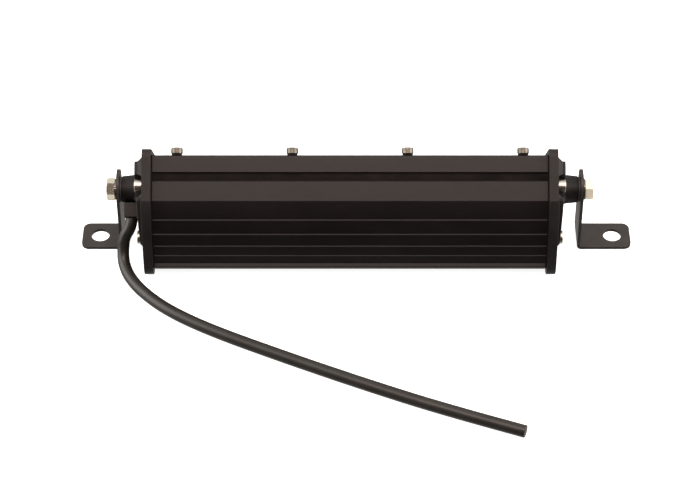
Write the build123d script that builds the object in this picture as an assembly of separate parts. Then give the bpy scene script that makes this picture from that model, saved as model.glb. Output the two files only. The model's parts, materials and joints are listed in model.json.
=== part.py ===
from build123d import *
import math
import os

# Two-row LED light bar on two clamp-pivot brackets. Millimetres.
# The lamp's own axes: X along the bar, Y forward along the light, Z up out of the upper wall, with
# the pivot axis through the origin. lamp() turns them into the row's: the light is tilted up about
# the pivot, which stands PIVOT_HEIGHT above the feet. The row's origin is midway between the two
# foot holes, on the plane that the feet stand on.

# Stance: how far the lens looks up, and the pivot's height over the feet in half heights of the cap
LENS_TILT = 43.0
PIVOT_RISE = 1.25

# Side outline of the lamp, measured from the pivot axis
CAP_FRONT = 23.1
CAP_BACK = 56.2
CAP_HALF_HEIGHT = 34.0
CAP_CORNER = 5.6
CREASE_BACK = 11.6
BOW_RADIUS = 90.0
NOSE_RADIUS = 11.6

# Lengths along the bar
BAR_LENGTH = 270.0
FLANGE = 6.0
CAP_GASKET = 0.8
BODY_INSET = 4.0

# Ribbed body
RAIL_FRONT = 2.5
RAIL_WIDTH = 8.6
EDGE_CHAMFER = 0.8
SEAT_FACE = -6.0
SEAT_WALL = 5.0
SKIN_WALL = 2.6
SLOT_BACKS = (23.3, 32.2, 39.4, 45.1)
SLOT_LEDGE = 0.9
FIN_WALL = 2.0
NOSE_BAR_BACK = 52.4
NOSE_BAR_FRONT = 46.0
NOSE_BAR_HALF = 5.5
NOSE_BAR_ROUND = 0.8
NOSE_SLOT = 0.9
SPINE_WALL = 5.0
TUNNEL_FIN = 2
TUNNEL_DEPTH = 15.5
TUNNEL_FLOOR = 2.5

# Front frame, lens and seals
GROOVE = 4.6
FRAME_LIP = 2.2
FRAME_BAR = 7.2
FRAME_END_BAR = 6.2
LIP_COVER = 1.9
SEAL_THICK = 0.8
LENS_THICK = 3.0
SLIDE_FIT = 0.2
GASKET_RECESS = 1.2

# Optics
LEDS_PER_ROW = 9
LED_PITCH = 26.4
LED_SIZE = 5.0
LED_HEIGHT = 1.3
CUP_THROAT_RADIUS = 4.0
CUP_BULGE = 1.3
CUP_WALL = 0.8
CUP_GAP = 0.3
REFLECTOR_RIM = 1.2
PAD_THICK = 0.5
BOARD_THICK = 1.6
BOARD_GAP = 0.2
BOARD_END_GAP = 2.0

# Driver in the tunnel
DRIVER_PAD = 1.0
DRIVER_LENGTH = 180.0
DRIVER_START = -92.0
LEAD_RADIUS = 0.9
LEAD_SPACING = 2.6
LEAD_X = -66.0
LEAD_HOLE_RADIUS = 3.4
LEAD_TAIL = 7.0
LEAD_BEND = 2.0
SUPPLY_LEAD_BEND = 8.0
SUPPLY_LEAD_RUN = 16.0
SUPPLY_LEAD_DROP = 4.0
SUPPLY_LEAD_TAIL = 10.0

# Parts on the driver board: cans, drum inductor, controller and switches
CAN_RADIUS = 5.0
CAN_HEIGHT = 11.0
CAN_PLACES = ((-10.0, 3.5), (4.0, 3.5), (18.0, 3.5))
DRUM_X = -32.0
DRUM_RADIUS = 7.0
DRUM_CORE_RADIUS = 5.2
DRUM_FLANGE = 1.5
DRUM_HEIGHT = 9.0
CONTROLLER = ((38.0, 46.0), (-3.0, 3.0), 1.8)
SWITCH_STARTS = (52.0, 60.5, 69.0, 77.5)
SWITCH_LENGTH = 6.0
SWITCH_SPAN = (-4.0, 2.5)
SWITCH_HEIGHT = 2.3

# End caps
PLATEAU = 5.2
PLATEAU_INSET = 6.0
PLATEAU_CORNER = 3.0
PLATEAU_RIM = 0.8
FLARE_ANGLE = 45
# Raised face, a sloping pad behind and a flat one in front: span from the pivot, heights at the
# back and front of that span, and the flare of its foot
PADS = (((-38.0, 0.0), (2.0, 4.6), 1.0), ((-10.0, 15.5), (PLATEAU, PLATEAU), 3.2))
BOSS_RADIUS = 10.4
BOSS_END_RADIUS = 8.7
BOSS_REACH = 15.3
SCALLOP = 3.4
SCREW_BOSS_WALL = 1.7

# Fasteners: thread radius, head radius, head height, length under the head
CAP_SCREW = (2.5, 4.3, 5.0, 18.0)
FRAME_SCREW = (2.0, 3.9, 3.8, 28.0)
BOARD_SCREW = (1.5, 2.7, 1.8, 5.6)
# Their heads' edge round and socket across flats
CAP_SCREW_HEAD = (0.6, 4.0)
FRAME_SCREW_HEAD = (1.0, 2.5)
BOARD_SCREW_HEAD = (0.5, 2.0)
# Cap screws: place from the pivot, forward and up
CAP_SCREWS = ((-0.8, 26.0), (-0.8, -26.0), (-31.7, 0.0))
FRAME_SCREW_X = (-112.5, -37.5, 37.5, 112.5)
FRAME_SCREW_INSET = 4.0
FRAME_SEAL_RADIUS = 3.4
FRAME_SEAL = 1.3
BOARD_SCREW_GAPS = (-3.5, -1.5, 1.5, 3.5)
THREAD_CLEARANCE = 0.05
THROUGH_CLEARANCE = 0.2
TAP_EXTRA = 1.0

# Pivots
PIVOT_RADIUS = 4.0
PIVOT_FIT = 0.08
HEX_FLATS = 13.0
HEX_HEIGHT = 5.3
HEX_BEVEL = 0.8
HEX_TURN = {-1: 5.0, 1: 35.0}
PIVOT_LENGTH = 21.0
FRICTION_WASHER = 1.1
FRICTION_RADIUS = 8.2
LOCK_WASHER = 1.6
LOCK_RADIUS = 6.9
LOCK_SPLIT = 1.0

# Brackets
SHEET = 2.0
ARM_WIDTH = 24.0
ARM_TOP = 13.5
BEND_INSIDE = 1.2
ARM_CROWN_FLAT = 1.0
FOOT_REACH = {-1: 26.0, 1: 34.4}
FOOT_HOLE_RADIUS = 6.05
FOOT_HOLE_INSET = 12.0
FOOT_CORNER = 5.0

# Cable outlet on the left cap and its cord
CORD_OUT = 8.6
OUTLET_UP = 3.0
OUTLET_TOP = -9.9
OUTLET_MOUTH = -19.4
OUTLET_WIDTH = 13.0
OUTLET_IN = 2.0
OUTLET_OUT = 13.8
OUTLET_TAPER = 3.0
OUTLET_ROUND = 1.2
OUTLET_FIT = 0.15
SPIGOT_RADIUS = 4.0
SPIGOT_BACK = -13.6
CORD_RADIUS = 4.0

# The cord after its exit, X from the exit and Y and Z in the row's axes: down to the ground, across
# behind the lamp, cut end
CORD_ROUTE = [
    (-4.1, -23.8, 20.0),
    (-6.6, -26.8, 13.0),
    (-5.6, -33.8, 6.9),
    (-1.2, -44.6, 4.3),
    (8.5, -58.7, 4.0),
    (25.8, -75.7, 4.0),
    (53.6, -93.8, 4.0),
    (98.6, -116.8, 4.0),
    (153.6, -143.2, 4.0),
    (203.6, -165.4, 4.0),
    (251.7, -183.7, 4.0),
]
CORD_FIRST_RUN = 6.8
CORD_BEND_SHARE = 0.45

# How near two coordinates are to count as the same when an edge is picked
EDGE_MATCH = 0.01

# Worked out from the sizes above
HALF_LENGTH = BAR_LENGTH / 2
PIVOT_HEIGHT = PIVOT_RISE * CAP_HALF_HEIGHT
CAP_FACE = HALF_LENGTH - FLANGE
BODY_HALF = CAP_FACE - CAP_GASKET
BODY_HALF_HEIGHT = CAP_HALF_HEIGHT - BODY_INSET
FRAME_FRONT = CAP_FRONT - BODY_INSET
FRAME_BACK = RAIL_FRONT + GROOVE
PLATEAU_FACE = HALF_LENGTH + PLATEAU
BOSS_END = HALF_LENGTH + BOSS_REACH
CORD_X = -HALF_LENGTH - CORD_OUT
OUTLET_INNER = -HALF_LENGTH - OUTLET_IN
OUTLET_OUTER = -HALF_LENGTH - OUTLET_OUT
ARM_INNER = BOSS_END + FRICTION_WASHER
ARM_OUTER = ARM_INNER + SHEET
SEAT_BACK = SEAT_FACE - SEAT_WALL
TUNNEL_BACK = SEAT_BACK - TUNNEL_DEPTH
REBATE_HALF_HEIGHT = BODY_HALF_HEIGHT - FRAME_BAR
REBATE_HALF_LENGTH = BODY_HALF - FRAME_END_BAR
LED_ROW = REBATE_HALF_HEIGHT / 2 - CUP_GAP
CUP_MOUTH_RADIUS = LED_ROW - CUP_WALL - CUP_GAP
LIP_BACK = FRAME_FRONT - FRAME_LIP
LENS_FRONT = LIP_BACK - SEAL_THICK
LENS_BACK = LENS_FRONT - LENS_THICK
BOARD_FRONT = SEAT_FACE + PAD_THICK + BOARD_THICK
CHAMBER_HALF = BODY_HALF_HEIGHT - RAIL_WIDTH
FRAME_SCREW_UP = BODY_HALF_HEIGHT - FRAME_SCREW_INSET
HOLE_X = {side: side * (ARM_OUTER + FOOT_REACH[side] - FOOT_HOLE_INSET) for side in (-1, 1)}
BAR_CENTRE_X = -(HOLE_X[-1] + HOLE_X[1]) / 2


def lamp(shape):
    """Put a piece drawn in the lamp's own axes into the row."""
    return Pos(BAR_CENTRE_X, 0, PIVOT_HEIGHT) * Rot(LENS_TILT, 0, 0) * shape


def block(x_range, y_range, z_range):
    """A box between two values on each axis."""
    spans = [high - low for low, high in (x_range, y_range, z_range)]
    middle = [(high + low) / 2 for low, high in (x_range, y_range, z_range)]
    return Pos(*middle) * Box(*spans)


def panel(y_range, z_range):
    """A rectangle of the lamp's cross-section."""
    width = y_range[1] - y_range[0]
    height = z_range[1] - z_range[0]
    return Pos(sum(y_range) / 2, sum(z_range) / 2) * Rectangle(width, height)


def along_bar(section, start, end):
    """Extrude a cross-section of the lamp from one place along the bar to another."""
    return extrude(Plane.YZ.offset(start) * section, end - start)


def rod(radius, x_range, y, z):
    """A round bar along X."""
    return along_bar(Pos(y, z) * Circle(radius), *x_range)


def forward_rod(radius, x, y_range, z):
    """A round bar along the light's direction."""
    length = y_range[1] - y_range[0]
    return Pos(x, sum(y_range) / 2, z) * Rot(90, 0, 0) * Cylinder(radius, length)


def both_ends(x, side):
    """The two X values of a pair, low first, on the given side of the bar."""
    return tuple(sorted((side * x[0], side * x[1])))


def bow_centre():
    """Centre of the upper back arc, which starts at the crease and runs into the round nose."""
    crease = Vector(-CREASE_BACK, CAP_HALF_HEIGHT)
    nose = Vector(NOSE_RADIUS - CAP_BACK, 0)
    gap = (nose - crease).length
    step = (nose - crease).normalized()
    along = (BOW_RADIUS**2 - (BOW_RADIUS - NOSE_RADIUS) ** 2 + gap**2) / (2 * gap)
    across = math.sqrt(BOW_RADIUS**2 - along**2)
    return crease + step * along + Vector(-step.Y, step.X) * across


def nose_join(inset):
    """Point where the upper back arc becomes the nose, on an outline set in all round."""
    nose = Vector(NOSE_RADIUS - CAP_BACK, 0)
    return nose + (nose - bow_centre()).normalized() * (NOSE_RADIUS - inset)


def bow_height(back):
    """Height of the body's upper back arc at a distance behind the pivot."""
    centre = bow_centre()
    return centre.Y + math.sqrt((BOW_RADIUS - BODY_INSET) ** 2 - (back + centre.X) ** 2)


def lamp_outline(inset, corner=0.0):
    """Side outline: flat front and walls, a crease, a bowed back and a round nose."""
    half = CAP_HALF_HEIGHT - inset
    front = CAP_FRONT - inset
    join = nose_join(inset)
    centre = bow_centre()
    crease = Vector(centre.X - math.sqrt((BOW_RADIUS - inset) ** 2 - (half - centre.Y) ** 2), half)
    middle = ((crease - centre).normalized() + (join - centre).normalized()).normalized()
    bow = centre + middle * (BOW_RADIUS - inset)
    tip = Vector(inset - CAP_BACK, 0)
    low_crease, low_bow, low_join = (Vector(p.X, -p.Y) for p in (crease, bow, join))
    edges = [
        Line((front, -half), (front, half)),
        Line((front, half), crease),
        ThreePointArc(crease, bow, join),
        ThreePointArc(join, tip, low_join),
        ThreePointArc(low_join, low_bow, low_crease),
        Line(low_crease, (front, -half)),
    ]
    face = make_face(edges)
    if corner > 0:
        face = fillet(face.vertices().group_by(Axis.X)[-1], corner)
    return face


FIN_HEIGHTS = [bow_height(back) for back in SLOT_BACKS]
TUNNEL_HALF = FIN_HEIGHTS[TUNNEL_FIN] - FIN_WALL


def slotted_skin():
    """Thin wall along the bowed back, slotted just above each fin and above the nose bar."""
    skin = lamp_outline(BODY_INSET) - lamp_outline(BODY_INSET + SKIN_WALL)
    skin &= panel((-CAP_BACK, SEAT_BACK), (-BODY_HALF_HEIGHT, BODY_HALF_HEIGHT))
    slots = [(bow_height(back), bow_height(back - SLOT_LEDGE)) for back in SLOT_BACKS]
    for slot in slots + [(NOSE_BAR_HALF, NOSE_BAR_HALF + NOSE_SLOT)]:
        for side in (-1, 1):
            skin -= panel((-CAP_BACK, SEAT_BACK), both_ends(slot, side))
    return skin


def body_section():
    """Cross-section of the ribbed body: screw rails, seat for the board, skin, fins and tunnel."""
    inside = lamp_outline(BODY_INSET)
    section = slotted_skin() + panel((SEAT_BACK, SEAT_FACE), (-BODY_HALF_HEIGHT, BODY_HALF_HEIGHT))
    for side in (-1, 1):
        rail = panel((SEAT_BACK, RAIL_FRONT), both_ends((CHAMBER_HALF, BODY_HALF_HEIGHT), side))
        lip = rail.vertices().group_by(Axis.X)[-1].sort_by(Axis.Y)[-1 if side > 0 else 0]
        section += chamfer(lip, EDGE_CHAMFER)
        for height in FIN_HEIGHTS:
            fin = panel((-CAP_BACK, SEAT_BACK), both_ends((height - FIN_WALL, height), side))
            section += fin & inside
    nose_bar = panel((-NOSE_BAR_BACK, -NOSE_BAR_FRONT), (-NOSE_BAR_HALF, NOSE_BAR_HALF))
    section += fillet(nose_bar.vertices().group_by(Axis.X)[0], NOSE_BAR_ROUND)
    section += panel((-NOSE_BAR_FRONT, SEAT_BACK), (-SPINE_WALL / 2, SPINE_WALL / 2))
    section += Pos(*CAP_SCREWS[-1]) * Circle(CAP_SCREW[0] + SCREW_BOSS_WALL)
    section += panel((TUNNEL_BACK - TUNNEL_FLOOR, SEAT_BACK), (-TUNNEL_HALF, TUNNEL_HALF))
    return section - panel((TUNNEL_BACK, SEAT_BACK), (-TUNNEL_HALF, TUNNEL_HALF))


def heat_sink_body():
    """Extruded body with its tapped holes."""
    body = along_bar(body_section(), -BODY_HALF, BODY_HALF)
    thread, _, _, length = CAP_SCREW
    tap_start = HALF_LENGTH - length - TAP_EXTRA
    for side in (-1, 1):
        for y, z in CAP_SCREWS:
            body -= rod(thread + THREAD_CLEARANCE, both_ends((tap_start, BODY_HALF), side), y, z)
        tap_end = FRAME_FRONT + FRAME_SEAL - FRAME_SCREW[3] - TAP_EXTRA
        for x in FRAME_SCREW_X:
            body -= forward_rod(
                FRAME_SCREW[0] + THREAD_CLEARANCE, x, (tap_end, RAIL_FRONT), side * FRAME_SCREW_UP
            )
    for gap in BOARD_SCREW_GAPS:
        body -= forward_rod(
            BOARD_SCREW[0] + THREAD_CLEARANCE, gap * LED_PITCH, (SEAT_BACK, SEAT_FACE), 0
        )
    return body - forward_rod(LEAD_HOLE_RADIUS, LEAD_X, (SEAT_BACK, SEAT_FACE), 0)


def front_frame():
    """Frame that clamps the lens: a ring with a lip in front, rebated from behind."""
    section = lamp_outline(BODY_INSET, CAP_CORNER - BODY_INSET) & panel(
        (FRAME_BACK, FRAME_FRONT), (-BODY_HALF_HEIGHT, BODY_HALF_HEIGHT)
    )
    back_corners = section.vertices().group_by(Axis.X)[0]
    section = chamfer(back_corners, EDGE_CHAMFER)
    frame = along_bar(section, -BODY_HALF, BODY_HALF)
    half_height = REBATE_HALF_HEIGHT - LIP_COVER
    half_length = REBATE_HALF_LENGTH - LIP_COVER
    window = block((-half_length, half_length), (FRAME_BACK, FRAME_FRONT), (-half_height, half_height))
    frame -= window
    frame -= block(
        (-REBATE_HALF_LENGTH, REBATE_HALF_LENGTH),
        (FRAME_BACK, LIP_BACK),
        (-REBATE_HALF_HEIGHT, REBATE_HALF_HEIGHT),
    )
    for x in FRAME_SCREW_X:
        for side in (-1, 1):
            frame -= forward_rod(
                FRAME_SCREW[0] + THROUGH_CLEARANCE, x, (FRAME_BACK, FRAME_FRONT), side * FRAME_SCREW_UP
            )
    return frame


def front_lens():
    """Clear front plate, a slide fit in the frame's rebate."""
    half_length = REBATE_HALF_LENGTH - SLIDE_FIT
    half_height = REBATE_HALF_HEIGHT - SLIDE_FIT
    return block((-half_length, half_length), (LENS_BACK, LENS_FRONT), (-half_height, half_height))


def lens_seal():
    """Flat ring between the lens and the frame's lip."""
    half_length = REBATE_HALF_LENGTH - SLIDE_FIT
    half_height = REBATE_HALF_HEIGHT - SLIDE_FIT
    width = LIP_COVER - 2 * SLIDE_FIT
    outside = block((-half_length, half_length), (LENS_FRONT, LIP_BACK), (-half_height, half_height))
    return outside - block(
        (width - half_length, half_length - width),
        (LENS_FRONT, LIP_BACK),
        (width - half_height, half_height - width),
    )


def frame_gaskets():
    """Two rubber strips in the groove between the front frame and the body's rails."""
    outer = BODY_HALF_HEIGHT - GASKET_RECESS
    strips = []
    for side in (-1, 1):
        up = tuple(sorted((side * REBATE_HALF_HEIGHT, side * outer)))
        strip = block((-BODY_HALF, BODY_HALF), (RAIL_FRONT, FRAME_BACK), up)
        for x in FRAME_SCREW_X:
            strip -= forward_rod(
                FRAME_SCREW[0] + THROUGH_CLEARANCE, x, (RAIL_FRONT, FRAME_BACK), side * FRAME_SCREW_UP
            )
        strips.append(strip)
    return Compound(strips)


def led_places():
    """Centres of the light sources: X along the bar and height of the row."""
    first = -(LEDS_PER_ROW - 1) / 2 * LED_PITCH
    return [(first + n * LED_PITCH, up) for up in (-LED_ROW, LED_ROW) for n in range(LEDS_PER_ROW)]


def cup_profile(bulge_out):
    """Half section of a reflector cup's surface, moved out by a wall: radius against depth."""
    back, front = BOARD_FRONT + BOARD_GAP, LENS_BACK
    throat = CUP_THROAT_RADIUS + bulge_out
    mouth = CUP_MOUTH_RADIUS + bulge_out
    belly = ((throat + mouth) / 2 + CUP_BULGE, (back + front) / 2)
    outline = [
        Line((0, back), (throat, back)),
        ThreePointArc((throat, back), belly, (mouth, front)),
        Line((mouth, front), (0, front)),
        Line((0, front), (0, back)),
    ]
    return make_face(outline)


def reflector():
    """Bright tray of bowed cups, one round each light source, under a flat rim."""
    half_length = (LEDS_PER_ROW * LED_PITCH) / 2
    half_height = CHAMBER_HALF - SLIDE_FIT
    tray = block(
        (-half_length, half_length), (LENS_BACK - REFLECTOR_RIM, LENS_BACK), (-half_height, half_height)
    )
    outside = revolve(cup_profile(CUP_WALL), Axis.Y)
    inside = revolve(cup_profile(0), Axis.Y)
    for x, up in led_places():
        tray += Pos(x, 0, up) * outside
    for x, up in led_places():
        tray -= Pos(x, 0, up) * inside
    return tray


def board_plate(y_range):
    """A flat plate on the seat, drilled for the board screws and the leads."""
    half_length = BODY_HALF - BOARD_END_GAP
    half_height = CHAMBER_HALF - SLIDE_FIT
    plate = block((-half_length, half_length), y_range, (-half_height, half_height))
    for gap in BOARD_SCREW_GAPS:
        plate -= forward_rod(BOARD_SCREW[0] + THROUGH_CLEARANCE, gap * LED_PITCH, y_range, 0)
    return plate - forward_rod(LEAD_HOLE_RADIUS, LEAD_X, y_range, 0)


def led_board():
    return board_plate((SEAT_FACE + PAD_THICK, BOARD_FRONT))


def thermal_pad():
    return board_plate((SEAT_FACE, SEAT_FACE + PAD_THICK))


def led_chips():
    """Square light sources on the board."""
    half = LED_SIZE / 2
    return Compound(
        [
            block((x - half, x + half), (BOARD_FRONT, BOARD_FRONT + LED_HEIGHT), (up - half, up + half))
            for x, up in led_places()
        ]
    )


def driver_face():
    """Forward face of the driver board, on its insulating pad."""
    return TUNNEL_BACK + DRIVER_PAD + BOARD_THICK


def driver_plate(y_range):
    half_height = TUNNEL_HALF - SLIDE_FIT
    return block((DRIVER_START, DRIVER_START + DRIVER_LENGTH), y_range, (-half_height, half_height))


def driver_capacitors():
    """Three upright cans."""
    face = driver_face()
    return Compound(
        [forward_rod(CAN_RADIUS, x, (face, face + CAN_HEIGHT), up) for x, up in CAN_PLACES]
    )


def driver_inductor():
    """Drum inductor: a wound core between two flanges."""
    face = driver_face()
    end = face + DRUM_HEIGHT
    drum = forward_rod(DRUM_CORE_RADIUS, DRUM_X, (face, end), 0)
    for flange in ((face, face + DRUM_FLANGE), (end - DRUM_FLANGE, end)):
        drum += forward_rod(DRUM_RADIUS, DRUM_X, flange, 0)
    return drum


def driver_chips():
    """Flat packages: a controller and four switches."""
    face = driver_face()
    x_range, z_range, height = CONTROLLER
    chips = [block(x_range, (face, face + height), z_range)]
    for start in SWITCH_STARTS:
        chips.append(
            block((start, start + SWITCH_LENGTH), (face, face + SWITCH_HEIGHT), SWITCH_SPAN)
        )
    return Compound(chips)


def tube(points, radius, corner):
    """A round tube along straight runs joined by arcs of one radius."""
    path = FilletPolyline(*points, radius=corner)
    return sweep(Plane(path @ 0, z_dir=path % 0) * Circle(radius), path)


def led_leads():
    """Two leads from the driver, through the seat, to the light board."""
    lift = BOARD_FRONT + LEAD_RADIUS
    leads = []
    for side in (-1, 1):
        up = side * LEAD_SPACING / 2
        route = [(LEAD_X, driver_face(), up), (LEAD_X, lift, up), (LEAD_X + LEAD_TAIL, lift, up)]
        leads.append(tube(route, LEAD_RADIUS, LEAD_BEND))
    return Compound(leads)


def supply_leads():
    """Two leads from the cable outlet's spigot to the driver's near end."""
    rest = driver_face() + LEAD_RADIUS
    leads = []
    for side in (-1, 1):
        up = OUTLET_UP + side * LEAD_SPACING / 2
        route = [
            (-CAP_FACE, SPIGOT_BACK, up),
            (-CAP_FACE + SUPPLY_LEAD_RUN, SPIGOT_BACK, up),
            (DRIVER_START - SUPPLY_LEAD_DROP, rest, up),
            (DRIVER_START + SUPPLY_LEAD_TAIL, rest, up),
        ]
        leads.append(tube(route, LEAD_RADIUS, SUPPLY_LEAD_BEND))
    return Compound(leads)


def raised_pad(y_range, heights, flare):
    """Part of the right cap's raised face: round corners and rim, and a foot flared at 45 degrees."""
    outline = lamp_outline(PLATEAU_INSET) & panel(y_range, (-CAP_HALF_HEIGHT, CAP_HALF_HEIGHT))
    ends = outline.vertices().group_by(Axis.X)
    outline = fillet(ends[0] + ends[-1], PLATEAU_CORNER)
    (back, front), (low, high) = y_range, heights
    corners = [(0, back), (low, back), (high, front), (0, front)]
    side_view = Pos(HALF_LENGTH, 0) * make_face(Polyline(*corners, close=True))
    pad = along_bar(outline, HALF_LENGTH, PLATEAU_FACE) & extrude(side_view, CAP_HALF_HEIGHT, both=True)
    pad = fillet(pad.faces().sort_by(Axis.X)[-1].edges(), PLATEAU_RIM)
    foot = Plane.YZ.offset(HALF_LENGTH) * offset(outline, flare)
    return pad + extrude(foot, flare, taper=FLARE_ANGLE)


def end_cap(side):
    """Cast cap: flange, raised face, cap screw seats and the pivot bolt's tapering boss."""
    cap = along_bar(lamp_outline(0, CAP_CORNER), CAP_FACE, HALF_LENGTH)
    for pad in PADS:
        cap += raised_pad(*pad)
    thread, head, _, _ = CAP_SCREW
    for y, z in CAP_SCREWS:
        cap -= rod(head + SCALLOP, (HALF_LENGTH, PLATEAU_FACE), y, z)
        cap -= rod(thread + THROUGH_CLEARANCE, (CAP_FACE, HALF_LENGTH), y, z)
    cone = Cone(BOSS_RADIUS, BOSS_END_RADIUS, BOSS_REACH, align=(Align.CENTER, Align.CENTER, Align.MIN))
    boss = Pos(HALF_LENGTH, 0, 0) * Rot(0, 90, 0) * cone
    cap += chamfer(boss.edges().sort_by(Axis.X)[-1], EDGE_CHAMFER / 2)
    tap_end = ARM_OUTER + LOCK_WASHER - PIVOT_LENGTH - TAP_EXTRA
    cap -= rod(PIVOT_RADIUS + THREAD_CLEARANCE, (tap_end, BOSS_END), 0, 0)
    return cap if side > 0 else mirror(cap, Plane.YZ)


def outlet_block(grow):
    """Tapered block of the cable outlet, from under the boss to its mouth, grown all round."""
    width = OUTLET_INNER - OUTLET_OUTER + 2 * grow
    top = Plane(
        origin=((OUTLET_INNER + OUTLET_OUTER) / 2, OUTLET_TOP + grow, OUTLET_UP),
        x_dir=(1, 0, 0),
        z_dir=(0, -1, 0),
    )
    outline = top * RectangleRounded(width, OUTLET_WIDTH + 2 * grow, OUTLET_ROUND + grow)
    return extrude(outline, OUTLET_TOP - OUTLET_MOUTH + grow, taper=0 if grow else OUTLET_TAPER)


def left_end_cap():
    """Left cap, with the pocket and hole for the cable outlet."""
    cap = end_cap(-1) - outlet_block(OUTLET_FIT)
    spigot = rod(SPIGOT_RADIUS + OUTLET_FIT, (OUTLET_INNER, -CAP_FACE), SPIGOT_BACK, OUTLET_UP)
    return cap - spigot


def cable_outlet():
    """Rubber cable outlet: a tapered block outside the cap and a spigot through it."""
    outlet = outlet_block(0)
    mouth = outlet.faces().sort_by(Axis.Y)[0]
    outlet = fillet(mouth.edges(), OUTLET_ROUND / 2)
    return outlet + rod(SPIGOT_RADIUS, (CORD_X, -CAP_FACE), SPIGOT_BACK, OUTLET_UP)


def cap_gasket(side):
    """Flat gasket between an end cap and the body, open at the driver tunnel."""
    section = lamp_outline(BODY_INSET) - panel((TUNNEL_BACK, SEAT_BACK), (-TUNNEL_HALF, TUNNEL_HALF))
    for y, z in CAP_SCREWS:
        section -= Pos(y, z) * Circle(CAP_SCREW[0] + THROUGH_CLEARANCE)
    return along_bar(section, *both_ends((BODY_HALF, CAP_FACE), side))


def socket_screw(size, head_shape):
    """Screw drawn under its head along -Z, the head above Z = 0, with a hexagon socket."""
    thread, head, height, length = size
    edge_round, socket_flats = head_shape
    cylinder = Cylinder(head, height, align=(Align.CENTER, Align.CENTER, Align.MIN))
    top = cylinder.edges().sort_by(Axis.Z)[-1]
    screw = fillet(top, edge_round)
    screw += Cylinder(thread, length, align=(Align.CENTER, Align.CENTER, Align.MAX))
    socket = Plane.XY.offset(height / 2) * RegularPolygon(socket_flats / 2, 6, major_radius=False)
    return screw - extrude(socket, height)


def cap_screws(side):
    """Three socket-head screws of one end cap."""
    screw = Rot(0, side * 90, 0) * socket_screw(CAP_SCREW, CAP_SCREW_HEAD)
    return Compound([Pos(side * HALF_LENGTH, y, z) * screw for y, z in CAP_SCREWS])


def frame_screws():
    """Eight screws through the front frame, standing on their sealing washers."""
    screw = Rot(-90, 0, 0) * socket_screw(FRAME_SCREW, FRAME_SCREW_HEAD)
    seat = FRAME_FRONT + FRAME_SEAL
    return Compound(
        [
            Pos(x, seat, side * FRAME_SCREW_UP) * screw for x in FRAME_SCREW_X for side in (-1, 1)
        ]
    )


def frame_screw_seals():
    """Sealing washers under the frame screws' heads."""
    outer = Cylinder(FRAME_SEAL_RADIUS, FRAME_SEAL)
    ring = outer - Cylinder(FRAME_SCREW[0] + THREAD_CLEARANCE, FRAME_SEAL)
    seat = FRAME_FRONT + FRAME_SEAL / 2
    return Compound(
        [
            Pos(x, seat, side * FRAME_SCREW_UP) * Rot(90, 0, 0) * ring
            for x in FRAME_SCREW_X
            for side in (-1, 1)
        ]
    )


def board_screws():
    """Four screws that hold the light board and its pad to the seat."""
    screw = Rot(-90, 0, 0) * socket_screw(BOARD_SCREW, BOARD_SCREW_HEAD)
    return Compound(
        [Pos(gap * LED_PITCH, BOARD_FRONT, 0) * screw for gap in BOARD_SCREW_GAPS]
    )


def pivot_bolt(side):
    """Hexagon-head pivot bolt, screwed into the cap's boss."""
    seat = ARM_OUTER + LOCK_WASHER
    hexagon = RegularPolygon(HEX_FLATS / 2, 6, major_radius=False, rotation=HEX_TURN[side])
    head = along_bar(hexagon, *both_ends((seat, seat + HEX_HEIGHT), side))
    corner = HEX_FLATS / math.sqrt(3)
    blank = rod(corner, both_ends((seat, seat + HEX_HEIGHT), side), 0, 0)
    rim = blank.edges().sort_by(Axis.X)[-1 if side > 0 else 0]
    head = head & chamfer(rim, HEX_BEVEL)
    return head + rod(PIVOT_RADIUS, both_ends((seat - PIVOT_LENGTH, seat), side), 0, 0)


def lock_washer(side):
    """Split spring washer under the bolt's head."""
    span = both_ends((ARM_OUTER, ARM_OUTER + LOCK_WASHER), side)
    ring = rod(LOCK_RADIUS, span, 0, 0) - rod(PIVOT_RADIUS + PIVOT_FIT, span, 0, 0)
    half_split = LOCK_SPLIT / 2
    return ring - block(span, (-half_split, half_split), (0, 2 * LOCK_RADIUS))


def friction_washer(side):
    """Flat washer between the boss and the bracket's arm, which the tilt turns against."""
    span = both_ends((BOSS_END, ARM_INNER), side)
    return rod(FRICTION_RADIUS, span, 0, 0) - rod(PIVOT_RADIUS + PIVOT_FIT, span, 0, 0)


def cord_route():
    """Exit point at the cable outlet's mouth, a short run straight out of it, then the route."""
    exit_point = lamp(Pos(CORD_X, OUTLET_MOUTH, OUTLET_UP)).position
    first = lamp(Pos(CORD_X, OUTLET_MOUTH - CORD_FIRST_RUN, OUTLET_UP)).position
    return [exit_point, first] + [Vector(exit_point.X + x, y, z) for x, y, z in CORD_ROUTE]


def cord_bends(points):
    """The largest tidy arc at each corner: a share of the shorter run over tan of half the turn."""
    radii = []
    for before, corner, after in zip(points, points[1:], points[2:]):
        turn = math.radians((corner - before).get_angle(after - corner))
        shorter = min((corner - before).length, (after - corner).length)
        radii.append(CORD_BEND_SHARE * shorter / math.tan(turn / 2))
    return radii


def power_cord():
    """Round cord along straight runs and tangent arcs, with a plain cut end."""
    points = cord_route()
    radii = cord_bends(points)
    path = FilletPolyline(*points, radius=radii)
    cord = sweep(Plane(path @ 0, z_dir=path % 0) * Circle(CORD_RADIUS), path)
    expected = math.pi * CORD_RADIUS**2 * path.length
    print("cord bend radii", [round(radius, 1) for radius in radii])
    print("cord length", round(path.length, 1), "volume / expected", round(cord.volume / expected, 5))
    return cord


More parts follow.
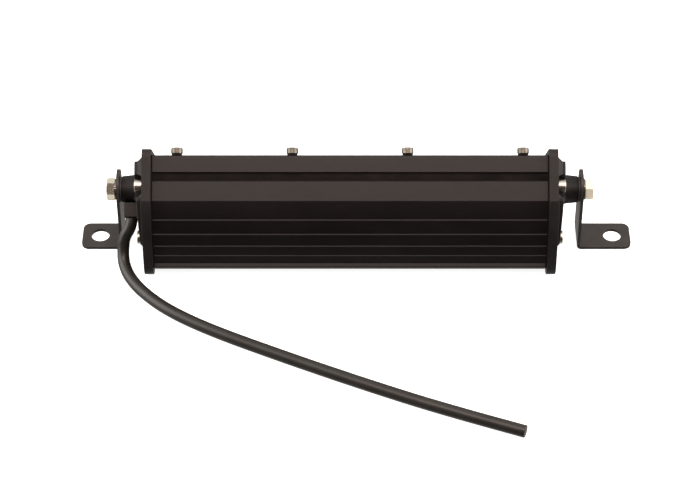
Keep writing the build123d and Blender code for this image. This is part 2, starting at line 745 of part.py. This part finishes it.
def bracket(side):
    """L bracket bent from strip: an arm with the pivot hole and a foot with one bolt hole."""
    end = ARM_OUTER + FOOT_REACH[side]
    top = PIVOT_HEIGHT + ARM_TOP
    strip = [
        Line((ARM_INNER, top), (ARM_INNER, 0)),
        Line((ARM_INNER, 0), (end, 0)),
        Line((end, 0), (end, SHEET)),
        Line((end, SHEET), (ARM_OUTER, SHEET)),
        Line((ARM_OUTER, SHEET), (ARM_OUTER, top)),
        Line((ARM_OUTER, top), (ARM_INNER, top)),
    ]
    profile = make_face(strip)
    heel = profile.vertices().sort_by(lambda v: v.X + v.Y)[0]
    profile = fillet(heel, BEND_INSIDE + SHEET)
    inner = profile.vertices().sort_by(lambda v: abs(v.X - ARM_OUTER) + abs(v.Y - SHEET))[0]
    profile = fillet(inner, BEND_INSIDE)
    shape = extrude(Plane.XZ * profile, ARM_WIDTH / 2, both=True)
    upright = [e for e in shape.edges().filter_by(Axis.Z) if e.center().X > end - EDGE_MATCH]
    shape = fillet(upright, FOOT_CORNER)
    crown = [e for e in shape.edges().filter_by(Axis.X) if e.center().Z > top - EDGE_MATCH]
    shape = fillet(crown, ARM_WIDTH / 2 - ARM_CROWN_FLAT / 2)
    shape -= Pos(0, 0, PIVOT_HEIGHT) * rod(PIVOT_RADIUS + PIVOT_FIT, (ARM_INNER, ARM_OUTER), 0, 0)
    hole = Cylinder(FOOT_HOLE_RADIUS, SHEET, align=(Align.CENTER, Align.CENTER, Align.MIN))
    shape -= Pos(abs(HOLE_X[side]), 0, 0) * hole
    if side < 0:
        shape = mirror(shape, Plane.YZ)
    return Pos(BAR_CENTRE_X, 0, 0) * shape


def main():
    os.makedirs("parts", exist_ok=True)
    lamp_pieces = {
        "heat_sink_body": heat_sink_body(),
        "front_frame": front_frame(),
        "front_lens": front_lens(),
        "lens_seal": lens_seal(),
        "frame_gaskets": frame_gaskets(),
        "reflector": reflector(),
        "led_board": led_board(),
        "led_chips": led_chips(),
        "thermal_pad": thermal_pad(),
        "board_screws": board_screws(),
        "driver_pad": driver_plate((TUNNEL_BACK, TUNNEL_BACK + DRIVER_PAD)),
        "driver_board": driver_plate((TUNNEL_BACK + DRIVER_PAD, driver_face())),
        "driver_capacitors": driver_capacitors(),
        "driver_inductor": driver_inductor(),
        "driver_chips": driver_chips(),
        "led_leads": led_leads(),
        "supply_leads": supply_leads(),
        "left_end_cap": left_end_cap(),
        "right_end_cap": end_cap(1),
        "cable_outlet": cable_outlet(),
        "frame_screws": frame_screws(),
        "frame_screw_seals": frame_screw_seals(),
    }
    for name, side in (("left", -1), ("right", 1)):
        lamp_pieces[name + "_cap_gasket"] = cap_gasket(side)
        lamp_pieces[name + "_cap_screws"] = cap_screws(side)
        lamp_pieces[name + "_pivot_bolt"] = pivot_bolt(side)
        lamp_pieces[name + "_lock_washer"] = lock_washer(side)
        lamp_pieces[name + "_friction_washer"] = friction_washer(side)
    pieces = {node: lamp(shape) for node, shape in lamp_pieces.items()}
    for name, side in (("left", -1), ("right", 1)):
        pieces[name + "_bracket"] = bracket(side)
    pieces["power_cord"] = power_cord()
    for node, shape in pieces.items():
        export_step(shape, f"parts/{node}.step")


main()
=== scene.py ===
import json
import math

import bpy
import numpy as np
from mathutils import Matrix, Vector


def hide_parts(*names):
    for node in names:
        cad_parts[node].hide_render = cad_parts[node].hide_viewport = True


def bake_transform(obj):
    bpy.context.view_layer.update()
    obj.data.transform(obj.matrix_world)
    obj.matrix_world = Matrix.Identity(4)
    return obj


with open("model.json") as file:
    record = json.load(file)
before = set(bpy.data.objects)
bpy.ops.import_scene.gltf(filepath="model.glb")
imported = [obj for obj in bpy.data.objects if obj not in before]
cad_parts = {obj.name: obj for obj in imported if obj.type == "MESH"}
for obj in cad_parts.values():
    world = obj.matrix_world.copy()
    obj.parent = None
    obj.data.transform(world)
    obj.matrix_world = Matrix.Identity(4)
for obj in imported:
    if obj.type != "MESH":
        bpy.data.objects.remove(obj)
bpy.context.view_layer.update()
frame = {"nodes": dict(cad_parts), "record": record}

NODES = frame["nodes"]
MM = 0.001

# ---------------------------------------------------------------- camera
CAMERA_AIM = Vector((-4.2, 0.0, 42.5)) * MM
CAMERA_ELEVATION = math.radians(42.0)
CAMERA_DISTANCE = 1600.0 * MM
CAMERA_DROP = 38.15 * MM
CAMERA_LENS = 124.66
CAMERA_NEAR, CAMERA_FAR = 0.05, 40.0


def make_camera():
    """The camera looks along +Y and down by CAMERA_ELEVATION, set below the line to the pivot axis."""
    ahead = Vector((0.0, math.cos(CAMERA_ELEVATION), -math.sin(CAMERA_ELEVATION)))
    above = Vector((0.0, math.sin(CAMERA_ELEVATION), math.cos(CAMERA_ELEVATION)))
    data = bpy.data.cameras.new("camera")
    data.lens = CAMERA_LENS
    data.sensor_width = 36.0
    data.clip_start, data.clip_end = CAMERA_NEAR, CAMERA_FAR
    camera = bpy.data.objects.new("camera", data)
    bpy.context.scene.collection.objects.link(camera)
    camera.location = CAMERA_AIM - CAMERA_DROP * above - CAMERA_DISTANCE * ahead
    camera.rotation_euler = (math.pi / 2 - CAMERA_ELEVATION, 0.0, 0.0)
    bpy.context.scene.camera = camera


# ---------------------------------------------------------------- mesh helpers
def add_piece(name, points, faces, material, uv=None, smooth=True):
    """A mesh object at the origin from an (n, 3) array of points and lists of corner numbers."""
    mesh = bpy.data.meshes.new(name)
    mesh.from_pydata(points.tolist(), [], faces)
    mesh.update()
    if uv is not None:
        corners = np.zeros(len(mesh.loops), np.int32)
        mesh.loops.foreach_get("vertex_index", corners)
        layer = mesh.uv_layers.new(name="UVMap")
        layer.data.foreach_set("uv", uv[corners].astype(np.float32).ravel())
    mesh.polygons.foreach_set("use_smooth", np.full(len(mesh.polygons), smooth))
    piece = bpy.data.objects.new(name, mesh)
    bpy.context.scene.collection.objects.link(piece)
    mesh.materials.append(material)
    return piece


def grid_faces(rows, columns):
    """Quads of a grid of rows x columns points whose columns close on themselves."""
    row, column = np.meshgrid(np.arange(rows - 1), np.arange(columns), indexing="ij")
    after = (column + 1) % columns
    quads = np.stack(
        (row * columns + column, row * columns + after,
         (row + 1) * columns + after, (row + 1) * columns + column), axis=-1)
    return quads.reshape(-1, 4)


# ---------------------------------------------------------------- cord
CORD_EXIT = (-147.8, -16.234, 31.463)
CORD_POINTS = [
    CORD_EXIT,
    (-148.3, -20.4, 27.5),
    (-153.0, -23.2, 20.9),
    (-154.0, -27.0, 12.8),
    (-153.4, -33.8, 6.9),
    (-149.0, -44.6, 4.3),
    (-139.3, -58.7, 4.0),
    (-122.0, -75.7, 4.0),
    (-94.2, -93.8, 4.0),
    (-49.2, -116.8, 4.0),
    (5.8, -143.2, 4.0),
    (55.8, -165.4, 4.0),
    (103.9, -183.7, 4.0),
]
CORD_RADIUS = 4.0 * MM
CORD_SIDES = 40
CORD_STEPS = 14
# Its free end's rounded edge, and the ring at either end that a flat face closes
CORD_EDGE = 0.35 * MM
CORD_EDGE_RINGS = 4
CORD_FACE_RADIUS = 0.35 * CORD_RADIUS
SAME_POINT = 1e-6


def cord_line():
    """The points of a smooth NURBS line through the cord's route, read back from the curve."""
    curve = bpy.data.curves.new("cord_line", "CURVE")
    curve.dimensions = "3D"
    curve.resolution_u = CORD_STEPS
    spline = curve.splines.new("NURBS")
    spline.points.add(len(CORD_POINTS) - 1)
    flat = np.array([[x * MM, y * MM, z * MM, 1.0] for x, y, z in CORD_POINTS], np.float32)
    spline.points.foreach_set("co", flat.ravel())
    spline.order_u = 3
    spline.use_endpoint_u = True
    line = bpy.data.objects.new("cord_line", curve)
    bpy.context.scene.collection.objects.link(line)
    bpy.context.view_layer.update()
    graph = bpy.context.evaluated_depsgraph_get()
    mesh = bpy.data.meshes.new_from_object(line.evaluated_get(graph))
    points = np.zeros(len(mesh.vertices) * 3, np.float32)
    mesh.vertices.foreach_get("co", points)
    bpy.data.objects.remove(line)
    bpy.data.curves.remove(curve)
    bpy.data.meshes.remove(mesh)
    points = points.reshape(-1, 3).astype(float)
    keep = np.append(True, np.linalg.norm(np.diff(points, axis=0), axis=1) > SAME_POINT)
    return points[keep]


def along_line(points):
    """Unit direction at each point of a line, and the two unit vectors square to it."""
    ahead = np.gradient(points, axis=0)
    ahead /= np.linalg.norm(ahead, axis=1)[:, None]
    side = np.cross(ahead, np.array((0.0, 0.0, 1.0)))
    side /= np.linalg.norm(side, axis=1)[:, None]
    return ahead, side, np.cross(side, ahead)


def make_cord(material):
    """A tube: each ring is its point + radius (cos a side + sin a up). The free end's edge is a
    quarter round: at angle b its ring is set back by edge (1 - sin b), with radius R - edge
    (1 - cos b)."""
    line = cord_line()
    ahead, side, up = along_line(line)
    angle = np.linspace(0.0, 2.0 * np.pi, CORD_SIDES, endpoint=False)
    bend = np.linspace(0.0, np.pi / 2.0, CORD_EDGE_RINGS)
    end = line[-1] - CORD_EDGE * (1.0 - np.sin(bend))[:, None] * ahead[-1]
    last = len(line) - 1
    centres = np.concatenate((line[:1], line[:-1], end, line[-1:]))
    which = np.concatenate(([0], np.arange(last), np.full(CORD_EDGE_RINGS + 1, last)))
    radii = np.concatenate(([CORD_FACE_RADIUS], np.full(last, CORD_RADIUS),
                            CORD_RADIUS - CORD_EDGE * (1.0 - np.cos(bend)), [CORD_FACE_RADIUS]))
    ring = (np.cos(angle)[None, :, None] * side[which][:, None, :]
            + np.sin(angle)[None, :, None] * up[which][:, None, :])
    points = centres[:, None, :] + radii[:, None, None] * ring
    rows = len(centres)
    length = np.append(0.0, np.cumsum(np.linalg.norm(np.diff(centres, axis=0), axis=1)))
    uv = np.stack(np.broadcast_arrays(angle[None, :] / (2.0 * np.pi), length[:, None]), axis=-1)
    faces = grid_faces(rows, CORD_SIDES)[:, ::-1].tolist()
    faces.append(list(range(CORD_SIDES)))
    faces.append(list(range(rows * CORD_SIDES - 1, (rows - 1) * CORD_SIDES - 1, -1)))
    cord = add_piece("power_cord_jacket", points.reshape(-1, 3), faces, material,
                     uv.reshape(-1, 2))
    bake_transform(cord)
    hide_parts("power_cord")


# ---------------------------------------------------------------- materials
# Fractal noise stays mostly between these values
NOISE_LOW, NOISE_HIGH = 0.3, 0.7


class Finish:
    """One node material on Object coordinates, built up call by call."""

    def __init__(self, name, roughness, metallic=0.0, **sockets):
        self.material = bpy.data.materials.new(name)
        self.material.use_nodes = True
        self.tree = self.material.node_tree
        self.shader = self.tree.nodes["Principled BSDF"]
        self.set_socket("Roughness", roughness)
        self.set_socket("Metallic", metallic)
        for socket, value in sockets.items():
            self.set_socket(socket.replace("_", " "), value)
        self.coordinates = self.tree.nodes.new("ShaderNodeTexCoord")
        self.height = None

    def set_socket(self, socket, value):
        self.shader.inputs[socket].default_value = value

    def node(self, kind, **values):
        made = self.tree.nodes.new(kind)
        for key, value in values.items():
            setattr(made, key, value)
        return made

    def link(self, source, target):
        self.tree.links.new(source, target)

    def noise(self, scale, detail=3.0, rough=0.55, stretch=(1.0, 1.0, 1.0)):
        """Fractal noise, with the coordinates multiplied by stretch."""
        mapping = self.node("ShaderNodeMapping")
        mapping.inputs["Scale"].default_value = stretch
        self.link(self.coordinates.outputs["Object"], mapping.inputs["Vector"])
        noise = self.node("ShaderNodeTexNoise")
        noise.inputs["Scale"].default_value = scale
        noise.inputs["Detail"].default_value = detail
        noise.inputs["Roughness"].default_value = rough
        self.link(mapping.outputs["Vector"], noise.inputs["Vector"])
        return noise.outputs["Fac"]

    def spread(self, value, to_low, to_high, low=NOISE_LOW, high=NOISE_HIGH):
        """value, from low..high to to_low..to_high, held at the ends."""
        node = self.node("ShaderNodeMapRange")
        for socket, number in (("From Min", low), ("From Max", high), ("To Min", to_low),
                               ("To Max", to_high)):
            node.inputs[socket].default_value = number
        self.link(value, node.inputs["Value"])
        return node.outputs["Result"]

    def mix(self, factor, first, second):
        node = self.node("ShaderNodeMix", data_type="RGBA")
        self.link(factor, node.inputs[0])
        for index, value in ((6, first), (7, second)):
            if isinstance(value, tuple):
                node.inputs[index].default_value = (*value, 1.0)
            else:
                self.link(value, node.inputs[index])
        return node.outputs[2]

    def colour(self, output):
        self.link(output, self.shader.inputs["Base Color"])
        return self

    def roughness(self, output):
        self.link(output, self.shader.inputs["Roughness"])
        return self

    def bump(self, output, distance, strength=1.0):
        """Adds a bump of that height, in metres, on top of the one before it."""
        node = self.node("ShaderNodeBump")
        node.inputs["Distance"].default_value = distance
        node.inputs["Strength"].default_value = strength
        self.link(output, node.inputs["Height"])
        if self.height is not None:
            self.link(self.height, node.inputs["Normal"])
        self.height = node.outputs["Normal"]
        self.link(self.height, self.shader.inputs["Normal"])
        return self


def extruded_black():
    """Satin black anodised aluminium: fine lines drawn along the bar and a soft mottling."""
    f = Finish("black_anodised_extrusion", 0.45, Specular_IOR_Level=0.28)
    lines = f.noise(9000.0, 2.0, 0.5, (0.02, 1.0, 1.0))
    cloud = f.noise(60.0, 4.0, 0.6, (0.4, 1.0, 1.0))
    f.colour(f.mix(f.spread(cloud, 0.0, 1.0), (0.0014, 0.0006, 0.0006),
                   (0.0032, 0.0018, 0.0017)))
    f.roughness(f.spread(lines, 0.38, 0.52))
    f.bump(lines, 0.00001, 0.6)
    return f.material


def cast_black():
    """Powder coated die casting: a fine even grain."""
    f = Finish("black_powder_coat", 0.55, Specular_IOR_Level=0.26)
    grain = f.noise(2600.0, 3.0, 0.6)
    cloud = f.noise(90.0, 3.0)
    f.colour(f.mix(f.spread(cloud, 0.0, 1.0), (0.0035, 0.0024, 0.0021),
                   (0.0065, 0.005, 0.0045)))
    f.roughness(f.spread(grain, 0.5, 0.62))
    f.bump(grain, 0.00003, 0.5)
    return f.material


def bracket_black():
    """Powder coated sheet steel: smoother than the castings, with a slight orange peel."""
    f = Finish("black_sheet_coat", 0.45, Specular_IOR_Level=0.33)
    peel = f.noise(1100.0, 2.0, 0.5)
    cloud = f.noise(120.0, 3.0)
    f.colour(f.mix(f.spread(cloud, 0.0, 1.0), (0.012, 0.0095, 0.0085),
                   (0.019, 0.0155, 0.014)))
    f.roughness(f.spread(peel, 0.4, 0.5))
    f.bump(peel, 0.00004, 0.4)
    return f.material


def bright_metal(name, low, high, rough_low, rough_high, grain=1800.0, metallic=1.0):
    """Plated or polished fastener metal with faint turning marks and a little staining."""
    f = Finish(name, 0.2, metallic)
    marks = f.noise(grain, 2.0, 0.5)
    stain = f.noise(420.0, 4.0, 0.6)
    f.colour(f.mix(f.spread(stain, 0.0, 1.0, low=0.35), low, high))
    f.roughness(f.spread(marks, rough_low, rough_high))
    f.bump(marks, 0.00001, 0.25)
    return f.material


def rubber(name, low, high, roughness=(0.6, 0.75), grain=1500.0, gloss=0.12):
    """Soft moulded rubber or PVC with a fine grain."""
    f = Finish(name, 0.6, Specular_IOR_Level=gloss)
    fine = f.noise(grain, 3.0, 0.6)
    cloud = f.noise(80.0, 3.0)
    f.colour(f.mix(f.spread(cloud, 0.0, 1.0), low, high))
    f.roughness(f.spread(fine, *roughness))
    f.bump(fine, 0.00002, 0.4)
    return f.material


def clear_window():
    """Clear moulded lens with a faint flow in its face."""
    f = Finish("clear_window", 0.04, Transmission_Weight=1.0, IOR=1.49)
    flow = f.noise(35.0, 2.0)
    f.colour(f.mix(f.spread(flow, 0.0, 1.0), (0.93, 0.95, 0.96), (0.97, 0.98, 0.985)))
    f.bump(flow, 0.0002, 0.1)
    return f.material


def plastic(name, low, high, roughness=(0.3, 0.45), grain=900.0, metallic=0.0):
    """Moulded, lacquered or printed surface with slight mottling."""
    f = Finish(name, roughness[0], metallic)
    fine = f.noise(grain, 3.0)
    f.colour(f.mix(f.spread(fine, 0.0, 1.0), low, high))
    f.roughness(f.spread(fine, *roughness))
    f.bump(fine, 0.00002, 0.3)
    return f.material


def make_finishes():
    """Every finish by the record's slot that it stands for."""
    return {
        "black_aluminium": extruded_black(),
        "cast_black": cast_black(),
        "bracket_steel": bracket_black(),
        "stainless": bright_metal("stainless_screw", (0.4, 0.37, 0.33), (0.52, 0.48, 0.43), 0.26,
                                  0.38),
        "zinc": bright_metal("zinc_plated_hex", (0.86, 0.8, 0.62), (0.9, 0.87, 0.76), 0.12, 0.22),
        "spring_steel": bright_metal("dark_spring_steel", (0.1, 0.09, 0.085), (0.17, 0.155, 0.14),
                                     0.3, 0.42),
        "clear_lens": clear_window(),
        "seal_rubber": rubber("seal_rubber", (0.004, 0.0028, 0.0025), (0.008, 0.0062, 0.0055),
                              gloss=0.04),
        "bright_reflector": bright_metal("metallised_cups", (0.5, 0.51, 0.52),
                                         (0.6, 0.61, 0.62), 0.1, 0.18),
        "board_white": plastic("white_solder_mask", (0.78, 0.79, 0.76), (0.86, 0.87, 0.85)),
        "board_green": plastic("green_solder_mask", (0.02, 0.16, 0.07), (0.035, 0.22, 0.1)),
        "led_yellow": plastic("phosphor", (0.86, 0.68, 0.12), (0.95, 0.8, 0.22), (0.35, 0.5)),
        "pad_grey": rubber("silicone_pad", (0.36, 0.38, 0.41), (0.45, 0.47, 0.5), (0.6, 0.7)),
        "part_black": plastic("moulded_black", (0.02, 0.02, 0.02), (0.032, 0.032, 0.032),
                              (0.45, 0.6)),
        "can_blue": plastic("blue_sleeve", (0.04, 0.06, 0.2), (0.07, 0.09, 0.27), (0.2, 0.3)),
        "copper_winding": bright_metal("enamelled_copper", (0.6, 0.24, 0.1), (0.78, 0.36, 0.17),
                                       0.22, 0.35),
        "lead_sleeve": plastic("red_sleeve", (0.42, 0.03, 0.025), (0.52, 0.045, 0.035),
                               (0.35, 0.5)),
        "cord_black": rubber("cord_jacket", (0.0075, 0.0064, 0.0052), (0.012, 0.0104, 0.0086),
                             (0.34, 0.42), 2200.0, 0.33),
    }


def dress_nodes(finishes):
    """Gives each CAD node the finish of its slot in the record, or its own."""
    own = {"cable_outlet": rubber("outlet_rubber", (0.011, 0.0088, 0.0078), (0.018, 0.0152, 0.0138),
                                  (0.45, 0.55), gloss=0.2),
           # The frame screws get a much darker copy of the stainless finish: painted shade that dims
           # their reflection of the key light
           "frame_screws": bright_metal("frame_screw_steel_painted_shade", (0.07, 0.064, 0.053),
                                        (0.13, 0.12, 0.1), 0.24, 0.36),
           # The right pivot bolt gets a rougher, less metallic copy of the zinc finish with a darker
           # colour: painted shade that dims its reflection
           "right_pivot_bolt": bright_metal("satin_zinc_hex_painted_shade", (0.66, 0.62, 0.49),
                                            (0.74, 0.7, 0.58), 0.5, 0.6, metallic=0.55)}
    for entry in frame["record"]["subparts"]:
        name = entry["node"]
        material = own.get(name, finishes[entry["material_slot"]])
        mesh = NODES[name].data
        if not mesh.materials:
            mesh.materials.append(material)
        for index in range(len(NODES[name].material_slots)):
            NODES[name].material_slots[index].material = material


# ---------------------------------------------------------------- studio
FLOOR_HALF = 30.0
FLOOR_COLOUR = (0.6, 0.6, 0.6)
FLOOR_GLOW = 0.9
# Soft panels: place as distance and elevation in degrees from the camera's side over the top,
# size, radiance and colour
PANELS = {
    "key": (1.8, 68.0, (1.8, 0.9), 6.3, (1.0, 0.79, 0.71)),
    "overhead": (1.8, 102.0, (1.6, 0.7), 1.2, (1.0, 0.97, 0.92)),
    "behind": (1.9, 140.0, (2.2, 0.6), 1.1, (1.0, 0.88, 0.8)),
}
# Panels beside the bar's two ends: distance, height over the pivot, size, radiance and colour
END_PANEL = (1.4, 0.7, (1.4, 1.5), 5.5, (1.0, 0.95, 0.9))
# The surround is bright, but dim and brown towards the camera's side at middle heights: how nearly
# a direction points there and down, and the colours
SURROUND_BRIGHT = (0.75, 0.73, 0.7)
SURROUND_DIM = (0.05, 0.044, 0.037)
DIM_START, DIM_FULL = 0.3, 0.75
LOW_START, LOW_FULL = 0.6, 0.9


def make_floor():
    """A wide flat floor, just under the feet, bright enough to lose its shadows."""
    f = Finish("pale_floor", 0.9, Specular_IOR_Level=0.0, Emission_Strength=FLOOR_GLOW)
    cloud = f.spread(f.noise(0.6, 2.0), 0.0, 1.0)
    f.colour(f.mix(cloud, FLOOR_COLOUR, tuple(min(1.0, c * 1.02) for c in FLOOR_COLOUR)))
    f.link(f.mix(cloud, (0.99, 0.99, 0.99), (1.0, 1.0, 1.0)), f.shader.inputs["Emission Color"])
    points = np.array([(-1, -1, 0), (1, -1, 0), (1, 1, 0), (-1, 1, 0)], float)
    floor = add_piece("studio_floor", points * FLOOR_HALF, [[0, 1, 2, 3]], f.material,
                      smooth=False)
    floor.visible_glossy = False


def add_panel(name, offset, size, radiance, colour):
    """A soft rectangular light, set off from the camera's aim by offset and facing it."""
    data = bpy.data.lights.new(name, "AREA")
    data.shape = "RECTANGLE"
    data.size, data.size_y = size
    data.energy = radiance * math.pi * size[0] * size[1]
    data.color = colour
    light = bpy.data.objects.new(name, data)
    light.location = CAMERA_AIM + offset
    light.rotation_euler = (-offset).to_track_quat("-Z", "Y").to_euler()
    bpy.context.scene.collection.objects.link(light)


def surround():
    """World light from its direction alone: bright all round, dim and brown on the camera's side."""
    world = bpy.data.worlds.new("studio")
    world.use_nodes = True
    tree = world.node_tree
    direction = tree.nodes.new("ShaderNodeTexCoord")
    axes = tree.nodes.new("ShaderNodeSeparateXYZ")
    tree.links.new(direction.outputs["Generated"], axes.inputs[0])
    shares = []
    for axis, start, full, low, high in (("Y", DIM_START, DIM_FULL, 0.0, 1.0),
                                         ("Z", LOW_START, LOW_FULL, 1.0, 0.0)):
        share = tree.nodes.new("ShaderNodeMapRange")
        share.interpolation_type = "SMOOTHSTEP"
        for socket, number in (("From Min", -start), ("From Max", -full), ("To Min", low),
                               ("To Max", high)):
            share.inputs[socket].default_value = number
        tree.links.new(axes.outputs[axis], share.inputs["Value"])
        shares.append(share.outputs["Result"])
    both = tree.nodes.new("ShaderNodeMath")
    both.operation = "MULTIPLY"
    mix = tree.nodes.new("ShaderNodeMix")
    mix.data_type = "RGBA"
    for index, share in enumerate(shares):
        tree.links.new(share, both.inputs[index])
    mix.inputs[6].default_value = (*SURROUND_BRIGHT, 1.0)
    mix.inputs[7].default_value = (*SURROUND_DIM, 1.0)
    tree.links.new(both.outputs[0], mix.inputs[0])
    tree.links.new(mix.outputs[2], tree.nodes["Background"].inputs["Color"])
    bpy.context.scene.world = world


def light_studio():
    """The surround, a warm key panel over the camera, and panels overhead, behind and at the ends."""
    surround()
    for name, (distance, elevation, size, radiance, colour) in PANELS.items():
        angle = math.radians(elevation)
        offset = distance * Vector((0.0, -math.cos(angle), math.sin(angle)))
        add_panel(name, offset, size, radiance, colour)
    distance, height, size, radiance, colour = END_PANEL
    for name, side in (("left_end", -1.0), ("right_end", 1.0)):
        add_panel(name, Vector((side * distance, 0.0, height)), size, radiance, colour)
    bpy.context.scene.view_settings.view_transform = "Standard"


# ---------------------------------------------------------------- build
make_camera()
FINISHES = make_finishes()
make_cord(FINISHES["cord_black"])
dress_nodes(FINISHES)
make_floor()
light_studio()
